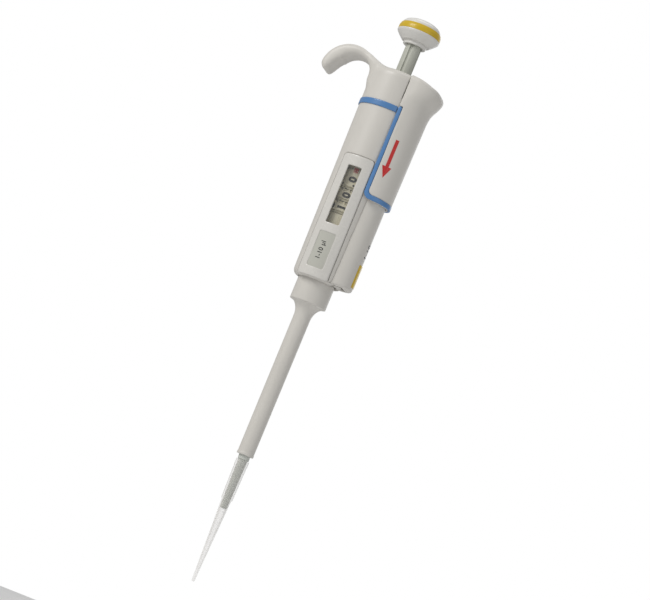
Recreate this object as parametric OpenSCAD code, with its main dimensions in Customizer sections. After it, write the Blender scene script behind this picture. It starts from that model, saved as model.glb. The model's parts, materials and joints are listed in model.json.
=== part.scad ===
// Single-channel adjustable air-displacement pipette with one disposable tip fitted.
// +Z runs up the pipette's axis from the open end of the tip, at the origin.
// -X is the side of the finger hook, +X the side of the ejector lever, and the volume window faces -Y.

/* [Disposable tip] */
// Length of the disposable tip
tip_len = 53.3; // [44:0.1:60]
// Outer radius at the tip's open end
tip_end_r = 0.6; // [0.5:0.05:0.9]
// Outer radius under the tip's collar
tip_neck_r = 2.02; // [1.9:0.02:2.2]
// Outer radius at the top of the tip's collar
tip_top_r = 2.85; // [2.6:0.05:3.4]
// Length of the tip's thicker collar
tip_collar_len = 17.6; // [14:0.1:19]
// Wall of the tip at its open end
tip_wall = 0.3; // [0.25:0.01:0.35]

/* [Nozzle and cylinder] */
// Length of nozzle inside the tip
nozzle_len = 21.3; // [18:0.1:22]
// Radius of the nozzle's free end
nozzle_end_r = 1.45; // [1.3:0.05:1.5]
// Radius of the nozzle at the tip's mouth
nozzle_top_r = 1.95; // [1.75:0.05:2.1]
// Radius of the long cylinder shaft above the nozzle
shaft_r = 2.45; // [2.2:0.05:2.6]
// Radius of the cylinder's threaded cup
cup_r = 6; // [5.8:0.1:6.3]
// Radius of the piston
piston_r = 0.6; // [0.4:0.05:0.8]

/* [Ejector] */
// Free gap between the tip and the ejector tube
tip_gap = 2.1; // [1.5:0.1:3]
// Length of the slim ejector tube, up to its shoulder
tube_len = 68; // [56:0.5:82]
// Outer radius of the ejector tube at its lower end
tube_r = 3.5; // [3.3:0.05:4.2]
// Outer radius of the ejector's collar
collar_r = 7.95; // [7.6:0.05:8.2]
// Length of collar that shows under the handle
collar_show = 9.6; // [8.5:0.1:12]
// Radius of the ejector rod
rod_r = 0.9; // [0.75:0.05:1.05]
// Travel of the ejector
eject_travel = 8; // [5:0.5:8]
// Lower edge of the lever's skirt, above the handle's bottom
skirt_z = 39; // [32:0.5:46]
// Reach of the thumb rest beyond the lever's skirt
thumb_out = 4.3; // [3:0.1:5.5]
// Reach of the lever's skirt beyond the rear lobe, at its lower edge
skirt_out = 1.8; // [1.5:0.1:2.6]

/* [Handle] */
// Length of the main housing
housing_len = 78.5; // [74:0.5:95]
// Outer radius of the handle at its bottom
grip_r = 11; // [10.8:0.1:13.2]
// How much wider the handle is at its top, in radius
crown_out = 1.2; // [0.8:0.1:1.6]
// Wall of the housings
wall = 1.5; // [1.2:0.1:1.7]
// Outer radius of the rear lobe, which hides the ejector rod
lobe_r = 7.1; // [6.9:0.1:8.6]
// Height of the hook cap above the main housing
cap_h = 16.9; // [16:0.1:20]

/* [Finger hook] */
// Radius of the round inside of the hook
hook_r = 7.5; // [6.5:0.1:7.6]
// Distance of the hook's centre from the pipette's axis
hook_x = 20; // [19.9:0.1:22]
// Height of the hook's centre above the main housing
hook_z = 11; // [9:0.1:12.5]
// Width of the hook along Y
hook_w = 11; // [8:0.5:14]
// Thickness of the hook at its top
hook_t = 4.4; // [3.5:0.1:5.5]

/* [Plunger and knob] */
// Stroke from rest to the first stop
dose_stroke = 8.8; // [7.5:0.1:9]
// Further stroke of the blow-out
blow_stroke = 3; // [2:0.1:3.2]
// Radius of the control rod
control_r = 1.5; // [1.2:0.1:1.7]
// Radius of the knob's stem
stem_r = 3.45; // [3.2:0.05:4.15]
// Largest radius of the knob
knob_r = 9.4; // [8.4:0.1:10.8]
// Height of the knob's underside above the hook cap
knob_lift = 13.6; // [12.9:0.1:17]

/* [Volume counter] */
// Height of one number ring and its gap
ring_pitch = 5.5; // [4.5:0.1:5.6]
// Lower edge of the lowest number ring, above the handle's bottom
counter_z = 29.7; // [29:0.1:31]
// Room between the carry pinions and the rear lobe's wall
pinion_room = 1.43; // [0.9:0.01:2]
// Width of the volume window
window_w = 6.1; // [5:0.1:7.4]
// Height of the volume window
window_h = 25.9; // [24:0.1:26.5]
// Width of the display panel
panel_w = 13.8; // [11:0.1:14.6]

/* [Hidden] */
$fn = 64;

// Clearances
run = 0.05;
slip = 0.35;
seat = 0.05;
over = 1;

// Levels along the axis, from the tip's end upwards
z_tube = tip_len + tip_gap;
z_shoulder = z_tube + tube_len;
z_body = z_shoulder + collar_show;
z_seam = z_body + housing_len;
z_deck = z_seam + 3;
z_deck_top = z_deck + 2;
z_cap = z_seam + cap_h;
z_knob = z_cap + knob_lift;

// Handle's outline: the radius rises evenly from the grip to the crown
crown_r = grip_r + crown_out;
corner_r = 2;
foot_z = z_body + 1;
floor_t = 2;
cap_round = 2.6;
lever_x = 7.2;
split_x = lever_x - 0.4;
inner_r = grip_r - wall;
function handle_r(z) = grip_r + (crown_r - grip_r) * (z - z_body) / housing_len;

// Cylinder and its seals
shaft_top = z_body - 13;
cup_z = z_body - 6.5;
cup_top = z_body + 14;
cup_bore = cup_r - 1.25;
air_r = piston_r + 0.15;
seal_r = 2.4;
seal_z = cup_z - 3.5;
seal_h = 1.8;
ring_minor = 0.7;
retainer_h = 1.6;
retainer_top = cup_z + 0.1 + retainer_h;

// Plunger's stops: the collar meets the washer after the dosing stroke
washer_top = retainer_top + 6.3;
washer_h = 1.5;
washer_r = cup_bore - 0.15;
washer_bore = 3.3;
collar_z = washer_top + run + dose_stroke;
collar_h = 2;
nut_z = collar_z + collar_h + 0.2;
piston_z = seal_z - 11;

// Counter chassis
chassis_r = inner_r - 0.2;
pillar_t = 0.9;
pillars = [[70, 110], [165, 195], [-52, -34]];
thread_z = z_body + 7.5;
neck_z = cup_top + 1;
plate_z = z_body + 21.4;
plate_h = 2;
base_z = z_body + counter_z - 0.4;
top_plate_z = z_body + counter_z + 3 * ring_pitch + 7.2;
bearing_z = z_seam - 5.5;
neck_r = 5.5;

// Number rings: 20 teeth on each slower ring, and pinions with 6 teeth
digit_r = chassis_r - pillar_t - 0.4;
gear_teeth = 20;
pinion_teeth = 6;
gear_pitch_r = digit_r - 0.3;
gear_root_r = digit_r - 0.85;
pinion_pitch_r = gear_pitch_r * pinion_teeth / gear_teeth;
pinion_tip_r = pinion_pitch_r + 0.25;
pinion_root_r = pinion_pitch_r - 0.55;
transfer_r = gear_pitch_r + pinion_pitch_r;
transfer_angle = 12;
transfer_pin_r = 0.5;
tooth_w = 0.8;
tooth_h = 1;
ring_gap = 0.4;
ring_h = ring_pitch - ring_gap;
tens_z = z_body + counter_z;
units_z = tens_z + ring_pitch;
tenths_z = units_z + ring_pitch;
tenths_h = ring_pitch + 4.4;

// Rear lobe's centre, placed so that the lobe holds the carry pinions
lobe_x = transfer_r + pinion_tip_r + pinion_room + wall - lobe_r;

// Drive sleeve, which the stem slides in
sleeve_r = stem_r + 1.05;
sleeve_bore = stem_r + 0.15;
sleeve_z = z_body + counter_z - 5.7;
sleeve_top = bearing_z + plate_h + 0.3;
stroke = dose_stroke + blow_stroke;
key_z = sleeve_top - 5.5;
key_h = 4;
key_w = 0.8;
groove_w = 1.2;
groove_d = 0.7;
stem_end = key_z - 2;
stem_room = stem_end - stroke - 0.8;
click_z = sleeve_top - 10.5;
click_r = sleeve_r + 1.7;
click_h = 2;

// Ejector rod, beside the number rings in the rear lobe, and the arm on top of the collar
rod_gap = 1.82;
rod_y = -3;
rod_x = sqrt(pow(digit_r + rod_gap + rod_r, 2) - rod_y * rod_y);
boss_r = rod_r + 0.6;
arm_z = z_body + 4;
arm_h = 2.6;
arm_y = 3.6;
arm_slot = [rod_y - boss_r - 0.4, arm_y + 0.4];
slot_x = rod_x + boss_r + 0.4;
collar_bore = cup_r + 0.5;
fillet_h = 6.4;
ledge_z = z_seam - 9.5;
ledge_h = 2;
trim_out = 0.15;
trim_in = 0.9;
trim_h = 2.6;
trim_w = 1.4;
skirt_low = z_body + skirt_z;
roof_z = z_deck_top + eject_travel + 0.4;
flare_z = z_seam + 3;

// Lever's skirt: a cone that ends in two thin front edges, just outside the front lobe
edge_t = 0.6;
edge_y = sqrt(pow(handle_r(skirt_low) + slip, 2) - lever_x * lever_x) + edge_t;
skirt_reach = lobe_x + lobe_r + skirt_out;
skirt_x = (skirt_reach * skirt_reach - lever_x * lever_x - edge_y * edge_y) / (2 * (skirt_reach - lever_x));
skirt_r = skirt_reach - skirt_x;
skirt_top_r = skirt_r + 0.5;
thumb_x = skirt_x + skirt_top_r + thumb_out;
thumb_w = thumb_x - lever_x;

// Bush of the stem, and the cap screws round it
bush_r = stem_r + 1.95;
flange_r = stem_r + 2.6;
screw_r = 1;
screw_head_r = 1.9;
cap_screw_r = flange_r + screw_r + 0.25;
cap_screw_angles = [115, 180, 245];

// Knob
knob_ring_z = z_knob + 5.3;
knob_ring_h = 3;
knob_top = knob_ring_z + knob_ring_h + 3.2;
spigot_r = knob_r - 2.9;
dome_r = knob_r - 0.75;
head_z = z_knob + 3;
head_r = control_r + 1.1;

// Display
panel_out = 0.3;
panel_in = 0.9;
panel_low = z_body + 0.6;
panel_h = 54;
panel_corner = 1.2;
window_z = z_body + 24;
label_z = z_body + 4.4;
label_h = 15.7;
label_w = 7.4;
strip_w = 4;

// Points of an arc about [x, y], from angle a0 to a1 in n steps
function arc(x, y, r, a0, a1, n) = [for (i = [0:n]) [x + r * cos(a0 + (a1 - a0) * i / n), y + r * sin(a0 + (a1 - a0) * i / n)]];

// The front lobe as a solid of revolution, grown outwards by e
module front_lobe(e = 0, z0 = z_body, z1 = z_seam) {
    rotate_extrude()
        polygon([
            [0, z0],
            [handle_r(z0) + e, z0],
            [handle_r(z1) + e, z1],
            [0, z1]
        ]);
}

// The rear lobe as a solid, grown outwards by e
module back_lobe(e = 0, z0 = z_body, z1 = z_seam) {
    translate([lobe_x, 0, z0])
        cylinder(r = lobe_r + e, h = z1 - z0);
}

// Disc, or ring when it has a bore
module ring(r, h, z, bore = 0) {
    translate([0, 0, z])
        difference() {
            cylinder(r = r, h = h);
            if (bore > 0)
                translate([0, 0, -over])
                    cylinder(r = bore, h = h + 2 * over);
        }
}

// Block from corner a to corner b
module block(a, b) {
    translate(a)
        cube(b - a);
}

// Rounded rectangle in X and Z, running through the front of the handle
module front_prism(w, z0, h, corner) {
    translate([0, 0, z0])
        rotate([90, 0, 0])
            linear_extrude(height = 30)
                union() {
                    translate([-w / 2 + corner, 0])
                        square([w - 2 * corner, h]);
                    translate([-w / 2, corner])
                        square([w, h - 2 * corner]);
                    for (x = [-1, 1])
                        for (z = [corner, h - corner])
                            translate([x * (w / 2 - corner), z])
                                circle(r = corner);
                }
}

// Coil of round wire from z0 to z1, swept along its helix
module coil(r, wire_r, z0, z1, turns) {
    steps = 14;
    sides = 6;
    n = turns * steps;
    rise = (z1 - z0 - 2 * wire_r) / n;
    points = [
        for (i = [0:n])
            for (k = [0:sides - 1])
                let (a = 360 * i / steps, b = 360 * k / sides, q = r + wire_r * cos(b))
                    [q * cos(a), q * sin(a), z0 + wire_r + rise * i + wire_r * sin(b)]
    ];
    sides_faces = [
        for (i = [0:n - 1])
            for (k = [0:sides - 1])
                let (a = i * sides + k, b = i * sides + (k + 1) % sides)
                    each [[a, a + sides, b + sides], [a, b + sides, b]]
    ];
    start_face = [[for (k = [0:sides - 1]) k]];
    end_face = [[for (k = [sides - 1:-1:0]) n * sides + k]];
    polyhedron(points = points, faces = concat(sides_faces, start_face, end_face), convexity = 8);
}

// Straight-sided teeth round a root circle
module toothed(teeth, root, tip, h, first = 0, count = 0) {
    cylinder(r = root, h = h);
    for (i = [0:(count > 0 ? count : teeth) - 1])
        rotate([0, 0, first + 360 * i / teeth])
            linear_extrude(height = h)
                polygon([
                    [root - 0.3, -tooth_w * 0.6],
                    [tip, -tooth_w * 0.32],
                    [tip, tooth_w * 0.32],
                    [root - 0.3, tooth_w * 0.6]
                ]);
}

// Front shell of the handle, open to the rear lobe and at the window
module main_housing() {
    color("gainsboro")
        difference() {
            union() {
                front_lobe(0, z_body + corner_r, z_seam);
                rotate_extrude()
                    polygon(concat(
                        [[0, z_body + corner_r], [0, z_body]],
                        arc(handle_r(z_body + corner_r) - corner_r, z_body + corner_r, corner_r, -90, 0, 6)
                    ));
            }
            front_lobe(-wall, z_body + floor_t, z_seam + over);
            back_lobe(seat, foot_z - seat, z_seam + over);
            ring(collar_r + slip - 0.1, 4, z_body - over);
            block([0, arm_slot[0], z_body - over], [slot_x, arm_slot[1], z_body + 3]);
            intersection() {
                front_prism(panel_w + 2 * seat, panel_low - seat, panel_h + 2 * seat, panel_corner);
                difference() {
                    front_lobe(3, z_body - over, z_seam);
                    front_lobe(-panel_in - seat, z_body - 2 * over, z_seam + over);
                }
            }
            front_prism(window_w + 1, window_z - 0.5, window_h + 1, 0.6);
        }
}

// Rear shell, which closes the channel of the ejector rod
module rear_housing() {
    color("gainsboro")
        difference() {
            union() {
                back_lobe(0, foot_z + 1.2, z_deck);
                translate([lobe_x, 0, foot_z])
                    cylinder(r1 = lobe_r - 0.9, r2 = lobe_r, h = 1.2);
            }
            difference() {
                back_lobe(-wall, foot_z + 1.4, z_deck + over);
                difference() {
                    back_lobe(0, ledge_z, ledge_z + ledge_h);
                    ring(chassis_r + 0.2, 2 * ledge_h, ledge_z - 1);
                }
            }
            translate([rod_x, rod_y, ledge_z - over])
                cylinder(r = rod_r + run, h = ledge_h + 2 * over);
            front_lobe(-wall, z_body - over, z_seam + over);
            ring(crown_r + seat, 10, z_seam - 0.5);
            ring(collar_r + slip - 0.1, 4, z_body - over);
            intersection() {
                back_lobe(-wall, z_body - over, z_body + 3);
                block([0, arm_slot[0], z_body - 2 * over], [slot_x, arm_slot[1], z_body + 4]);
            }
        }
}

// Outline of the finger hook in X and Z
module hook_outline() {
    cx = -hook_x;
    cz = z_seam + hook_z;
    outer_r = hook_r + hook_t + 0.5;
    ox = cx - 2.3;
    oz = cz + hook_r + hook_t - outer_r;
    polygon(concat(
        [
            [0, z_deck],
            [0, z_cap],
            [-3.7, z_cap],
            [-7.5, z_cap + 0.6],
            [-11.1, z_cap + 2.2]
        ],
        arc(ox, oz, outer_r, 53, 172, 16),
        arc(ox - outer_r + 2.6, oz + 0.4, 2.4, 190, 290, 5),
        [
            [cx - 9.8, cz - 1.2],
            [cx - 8.7, cz + 1],
            [cx - 7.7, cz + 2.8],
            [cx - hook_r * cos(33), cz + hook_r * sin(33)],
            [cx, cz],
            [-handle_r(z_seam) - 0.2, cz],
            [-handle_r(z_seam) - 0.2, z_deck]
        ]
    ));
}

// Top shell of the handle with the finger hook
module hook_cap() {
    color("gainsboro")
        difference() {
            union() {
                front_lobe(0, z_seam + seat, z_cap - cap_round);
                rotate_extrude()
                    polygon(concat(
                        [[0, z_cap], [0, z_cap - cap_round]],
                        arc(handle_r(z_cap - cap_round) - cap_round, z_cap - cap_round, cap_round, 0, 90, 6)
                    ));
                back_lobe(0, z_deck + seat, z_deck_top);
                rotate([90, 0, 0])
                    linear_extrude(height = hook_w, center = true)
                        hook_outline();
            }
            intersection() {
                block([split_x, -30, z_deck_top], [40, 30, z_cap + 10]);
                translate([skirt_x, 0, z_deck_top - over])
                    cylinder(r = skirt_top_r + slip, h = cap_h);
            }
            front_lobe(-wall, z_seam - over, z_deck);
            back_lobe(seat, z_seam - over, z_deck + seat);
            difference() {
                ring(crown_r - 2, z_cap - 2.2 - z_deck_top, z_deck_top);
                block([split_x - 1.8, -30, z_deck], [40, 30, z_cap]);
            }
            ring(stem_r + 0.3, cap_h + 10, z_deck_top - over);
            ring(bush_r + seat, 10, z_deck - over);
            translate([rod_x, rod_y, z_deck - over])
                cylinder(r = boss_r + 0.8, h = 10);
            for (a = cap_screw_angles)
                rotate([0, 0, a])
                    translate([cap_screw_r, 0, z_deck - over])
                        cylinder(r = screw_r + run, h = 10);
            translate([-hook_x, 0, z_seam + hook_z])
                rotate([90, 0, 0])
                    cylinder(r = hook_r, h = hook_w + 2, center = true);
        }
}

// Screws that hold the hook cap down on the chassis
module cap_screws() {
    color("silver")
        for (a = cap_screw_angles)
            rotate([0, 0, a])
                translate([cap_screw_r, 0, 0]) {
                    ring(screw_r, z_deck_top - bearing_z - 0.4, bearing_z + 0.4);
                    difference() {
                        ring(screw_head_r, 1.3, z_deck_top);
                        block([-0.25, -2.5, z_deck_top + 0.7], [0.25, 2.5, z_deck_top + 3]);
                    }
                }
}

// Coloured band round the seam under the hook cap
module housing_band() {
    color("steelblue")
        difference() {
            front_lobe(0.4, z_seam - 1.4, z_seam + 1.4);
            front_lobe(0.02, z_seam - 2, z_seam + 2);
            block([lever_x - 0.3, -30, z_seam - 3], [40, 30, z_seam + 3]);
        }
}

// Curved cover over the counter, with its window and label recess
module display_panel() {
    color("whitesmoke")
        difference() {
            intersection() {
                front_lobe(panel_out, panel_low - over, panel_low + panel_h + over);
                front_prism(panel_w, panel_low, panel_h, panel_corner);
            }
            front_lobe(-panel_in, z_body - 2, z_seam);
            back_lobe(seat);
            front_prism(window_w, window_z, window_h, 0.4);
            intersection() {
                front_prism(label_w, label_z, label_h, 0.5);
                difference() {
                    front_lobe(3, z_body - over, z_seam);
                    front_lobe(-0.1, z_body - 2, z_seam + over);
                }
            }
        }
}

// Clear window over the number rings
module display_window() {
    color("lightcyan", 0.4)
        difference() {
            intersection() {
                front_lobe(0.1, window_z - over, window_z + window_h + over);
                front_prism(window_w - 2 * seat, window_z + seat, window_h - 2 * seat, 0.4 - seat);
            }
            front_lobe(-panel_in, z_body - 2, z_seam);
        }
}

// Blank label under the window
module label_plate() {
    color("lightgray")
        difference() {
            intersection() {
                front_lobe(0.1, label_z - over, label_z + label_h + over);
                front_prism(label_w - 2 * seat, label_z + seat, label_h - 2 * seat, 0.5 - seat);
            }
            front_lobe(-0.1, z_body - 2, z_seam);
        }
}

// Colour-code strip on the back of the rear lobe, which tells the tip size
module colour_strip() {
    color("goldenrod")
        difference() {
            intersection() {
                back_lobe(0.25, z_body + 3, z_body + 13);
                block([lobe_x, -strip_w / 2, z_body], [40, strip_w / 2, z_seam]);
            }
            back_lobe(0.02, z_body, z_seam);
        }
}

// Inner chassis: cylinder socket, counter base, pillars and bearings
module counter_chassis() {
    color("darkgray")
        difference() {
            union() {
                ring(chassis_r, plate_z + plate_h - thread_z, thread_z);
                ring(digit_r - 0.1, base_z - plate_z, plate_z);
                ring(chassis_r, plate_h, top_plate_z, sleeve_r + 0.3);
                ring(chassis_r, plate_h, bearing_z, sleeve_r + run);
                for (p = pillars)
                    rotate([0, 0, p[0]])
                        rotate_extrude(angle = p[1] - p[0])
                            translate([chassis_r - pillar_t, plate_z + plate_h / 2])
                                square([pillar_t - 0.1, bearing_z + plate_h / 2 - plate_z]);
                for (z = [plate_z, top_plate_z])
                    rotate([0, 0, transfer_angle])
                        translate([transfer_r, 0, z])
                            cylinder(r = 1.6, h = plate_h);
            }
            ring(cup_r + seat, neck_z - thread_z + over, thread_z - over);
            ring(neck_r, plate_z - neck_z, neck_z - over);
            ring(control_r + 0.3, 12, plate_z - 2);
            ring(sleeve_r + run, 20, sleeve_z - 0.2);
            rotate([0, 0, transfer_angle])
                translate([transfer_r, 0, plate_z - over])
                    cylinder(r = transfer_pin_r, h = top_plate_z);
            translate([rod_x, rod_y, thread_z - over])
                cylinder(r = boss_r + 0.8, h = z_deck - thread_z);
            for (a = cap_screw_angles)
                rotate([0, 0, a])
                    translate([cap_screw_r, 0, bearing_z - over])
                        cylinder(r = screw_r, h = 10);
        }
}

// Shaft that carries the two carry pinions
module transfer_shaft() {
    color("silver")
        rotate([0, 0, transfer_angle])
            translate([transfer_r, 0, plate_z])
                cylinder(r = transfer_pin_r, h = top_plate_z + plate_h - plate_z);
}

// Flanged bush in the deck, which guides the stem
module stem_bushing() {
    color("dimgray")
        difference() {
            union() {
                ring(bush_r, z_deck_top - z_deck + 2, z_deck - 2);
                ring(flange_r, 2, z_deck - 2);
            }
            ring(stem_r + run + 0.04, 20, z_deck - 8);
        }
}

// Leaf spring that clicks on the toothed wheel as the volume is set
module click_spring() {
    back_x = -(chassis_r - pillar_t - seat) * cos(15);
    color("silver") {
        block([back_x, -2, click_z], [back_x + 0.5, 4.4, click_z + click_h]);
        block([back_x + 0.3, 4, click_z], [-click_r + 1.2, 4.4, click_z + click_h]);
    }
}

// Adjustable stop that the plunger's collar rests against
module calibration_nut() {
    color("goldenrod")
        difference() {
            union() {
                ring(cup_bore - 0.5, neck_z - nut_z, nut_z);
                ring(neck_r - seat, plate_z - 1.2 - neck_z, neck_z);
            }
            ring(control_r + 0.2, 20, nut_z - over);
            for (a = [0, 90])
                rotate([0, 0, a])
                    block([-neck_r, -0.5, plate_z - 2.2], [neck_r, 0.5, plate_z]);
        }
}

// Cylinder module: nozzle, long shaft and threaded cup in one piece
module tip_cone() {
    color("darkgray")
        difference() {
            rotate_extrude()
                polygon([
                    [0, tip_len - nozzle_len],
                    [nozzle_end_r - 0.2, tip_len - nozzle_len],
                    [nozzle_end_r, tip_len - nozzle_len + 0.3],
                    [nozzle_top_r, tip_len],
                    [shaft_r, tip_len + 0.3],
                    [shaft_r, shaft_top],
                    [cup_r, cup_z],
                    [cup_r, cup_top],
                    [0, cup_top]
                ]);
            ring(air_r, cup_z + over, tip_len - nozzle_len - over);
            ring(seal_r, 10, seal_z);
            ring(cup_bore, 40, cup_z);
        }
}

// Sliding seal round the piston
module piston_seal() {
    color("white")
        ring(seal_r - seat, seal_h, seal_z, piston_r + run);
}

// Rubber ring that presses the seal
module o_ring() {
    color("black")
        translate([0, 0, seal_z + seal_h + ring_minor + 0.1])
            rotate_extrude()
                translate([seal_r - seat - ring_minor, 0])
                    circle(r = ring_minor, $fn = 32);
}

// Disc that holds the seals down and seats both springs
module seal_retainer() {
    color("silver")
        ring(cup_bore - seat, retainer_h, cup_z + 0.1, piston_r + 0.2);
}

// Ring that the collar meets at the first stop
module blowout_washer() {
    color("silver")
        ring(washer_r, washer_h, washer_top - washer_h, washer_bore);
}

// Stiff spring that makes the second stop
module blowout_spring() {
    color("silver")
        coil(washer_r - 0.35, 0.25, retainer_top, washer_top - washer_h, 3);
}

// Steel rod that joins the knob to the piston
module control_rod() {
    color("silver") {
        ring(control_r, head_z - collar_z - collar_h, collar_z + collar_h);
        ring(head_r, 1.2, head_z);
    }
}

// Collar under the control rod, which pushes the springs
module piston_collar() {
    color("whitesmoke")
        ring(cup_bore - 0.35, collar_h, collar_z);
}

// Piston, which moves in the cylinder's bore
module piston() {
    color("silver")
        ring(piston_r, collar_z - piston_z, piston_z);
}

// Soft spring that returns the plunger
module primary_spring() {
    color("silver")
        coil(washer_bore - 0.65, 0.25, retainer_top, collar_z, 6);
}

// Hollow stem with grooves that the drive sleeve's keys run in
module knob_stem() {
    color("silver")
        difference() {
            ring(stem_r, z_knob + 2.5 - stem_end, stem_end);
            ring(control_r + run, 80, stem_end - over);
            for (a = [0, 90, 180, 270])
                rotate([0, 0, a])
                    block([stem_r - groove_d, -groove_w / 2, stem_end - over], [stem_r + 1, groove_w / 2, z_knob + 1]);
        }
}

// Lower part of the knob, with a stepped underside
module knob_body() {
    color("whitesmoke")
        difference() {
            rotate_extrude()
                polygon([
                    [0, z_knob],
                    [stem_r + 1.6, z_knob],
                    [stem_r + 1.6, z_knob + 1.7],
                    [knob_r - 3.2, z_knob + 1.5],
                    [knob_r - 2.7, z_knob + 1.9],
                    [knob_r - 0.4, z_knob + 4.2],
                    [knob_r, z_knob + 4.8],
                    [knob_r, knob_ring_z],
                    [spigot_r, knob_ring_z],
                    [spigot_r, knob_ring_z + 1.4],
                    [0, knob_ring_z + 1.4]
                ]);
            ring(stem_r + seat, 3.5, z_knob - over);
            ring(control_r + run, 8, z_knob);
            ring(head_r + 0.3, 6, head_z - 0.1);
        }
}

// Coloured ring round the knob
module knob_ring() {
    color("goldenrod")
        rotate_extrude()
            polygon([
                [spigot_r + seat, knob_ring_z + 0.02],
                [knob_r, knob_ring_z + 0.02],
                [knob_r - 0.1, knob_ring_z + knob_ring_h * 0.6],
                [knob_r - 0.6, knob_ring_z + knob_ring_h],
                [spigot_r + seat, knob_ring_z + knob_ring_h]
            ]);
}

// Domed cap that the thumb presses
module knob_cap() {
    dome_h = knob_top - knob_ring_z - knob_ring_h;
    color("white")
        rotate_extrude()
            polygon([
                [0, knob_ring_z + 1.5],
                [spigot_r, knob_ring_z + 1.5],
                [spigot_r, knob_ring_z + knob_ring_h + 0.02],
                [dome_r, knob_ring_z + knob_ring_h + 0.02],
                [dome_r * 0.96, knob_ring_z + knob_ring_h + dome_h * 0.3],
                [dome_r * 0.86, knob_ring_z + knob_ring_h + dome_h * 0.6],
                [dome_r * 0.66, knob_ring_z + knob_ring_h + dome_h * 0.85],
                [dome_r * 0.36, knob_ring_z + knob_ring_h + dome_h * 0.97],
                [0, knob_top]
            ]);
}

// Sleeve that the stem turns by its keys, and that turns the counter
module drive_sleeve() {
    color("dimgray") {
        difference() {
            ring(sleeve_r, sleeve_top - sleeve_z, sleeve_z);
            ring(control_r + 0.3, 200, sleeve_z - over);
            ring(sleeve_bore, 100, stem_room);
        }
        for (a = [0, 180])
            rotate([0, 0, a])
                block([stem_r - groove_d + 0.2, -key_w / 2, key_z], [sleeve_bore + 0.3, key_w / 2, key_z + key_h]);
    }
}

// Notched wheel that the leaf spring clicks on
module click_wheel() {
    color("whitesmoke")
        translate([0, 0, click_z])
            difference() {
                ring(click_r, click_h, 0, sleeve_r + 0.01);
                for (i = [0:19])
                    rotate([0, 0, 18 * i + 9])
                        translate([click_r + 0.3, 0, -over])
                            cylinder(r = 0.7, h = click_h + 2 * over, $fn = 16);
            }
}

// Number ring: one carry tooth below, a smooth band for digits, and gear teeth above
// The carry tooth passes its pinion a quarter turn on, when a gap between two pinion teeth faces it
module number_ring(z, h, geared) {
    band_top = geared ? h - tooth_h : h;
    translate([0, 0, z])
        difference() {
            union() {
                toothed(gear_teeth, gear_root_r, digit_r - 0.3, tooth_h, transfer_angle + 90, 1);
                translate([0, 0, tooth_h])
                    cylinder(r = digit_r, h = band_top - tooth_h);
                if (geared)
                    translate([0, 0, band_top])
                        toothed(gear_teeth, gear_root_r, digit_r, tooth_h, transfer_angle + 9);
            }
            translate([0, 0, -over])
                cylinder(r = sleeve_r + run, h = h + 2 * over);
            translate([0, 0, h - 1.6])
                ring(gear_root_r - 0.9, 5, 0, sleeve_r + 1);
            translate([0, 0, -over])
                ring(gear_root_r - 0.9, over + 1.6, 0, sleeve_r + 1);
        }
}

// Ring for tenths, with the scale above its digits
module tenths_ring() {
    color("beige")
        number_ring(tenths_z, tenths_h, false);
}

// Ring for units
module units_ring() {
    color("beige")
        number_ring(units_z, ring_h, true);
}

// Ring for tens
module tens_ring() {
    color("beige")
        number_ring(tens_z, ring_h, true);
}

// Carry pinion across the gap above the ring at z
module pinion(z) {
    rotate([0, 0, transfer_angle])
        translate([transfer_r, 0, z + ring_h - tooth_h + 0.1])
            rotate([0, 0, 180])
                difference() {
                    toothed(pinion_teeth, pinion_root_r, pinion_tip_r, 2 * tooth_h + ring_gap - 0.2);
                    translate([0, 0, -over])
                        cylinder(r = transfer_pin_r + run, h = 5);
                }
}

// Pinion that drives the units ring
module units_pinion() {
    color("peru")
        pinion(units_z);
}

// Pinion that drives the tens ring
module tens_pinion() {
    color("peru")
        pinion(tens_z);
}

// Space the lever must leave for the handle
module handle_space() {
    front_lobe(slip, z_body, roof_z);
    back_lobe(slip, z_body, roof_z);
}

// Outline of the lever's thumb rest in X and Z
module thumb_outline() {
    polygon([
        [lever_x, flare_z],
        [lever_x, z_cap - 0.4],
        [lever_x + 0.32 * thumb_w, z_cap - 1.1],
        [lever_x + 0.62 * thumb_w, z_cap - 2.3],
        [thumb_x - 1.5, z_cap - 3.8],
        [thumb_x - 0.4, z_cap - 5],
        [thumb_x, z_cap - 6.2],
        [thumb_x - 0.5, z_cap - 7.4],
        [thumb_x - 2.8, z_cap - 10.3],
        [thumb_x - 3.9, z_cap - 12.7],
        [skirt_x + skirt_top_r, flare_z]
    ]);
}

// Cone of the lever's skirt from height z0, grown outwards by e
module skirt_cone(e, z0) {
    rise = (skirt_top_r - skirt_r) / (flare_z - skirt_low);
    translate([skirt_x, 0, z0])
        cylinder(r1 = skirt_r + e + rise * (z0 - skirt_low), r2 = skirt_top_r + e, h = flare_z - z0);
}

// Zone of the blue trim on the lever's skirt, grown by e
module trim_zone(e = 0) {
    difference() {
        intersection() {
            skirt_cone(trim_out, skirt_low - e);
            block([lever_x - over, -30, skirt_low - e], [40, 30, z_seam + 2 + e]);
        }
        skirt_cone(-trim_in - e, skirt_low - over);
        block([lever_x + trim_w + e, -30, skirt_low + trim_h + e], [40, 30, z_cap]);
    }
}

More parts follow.
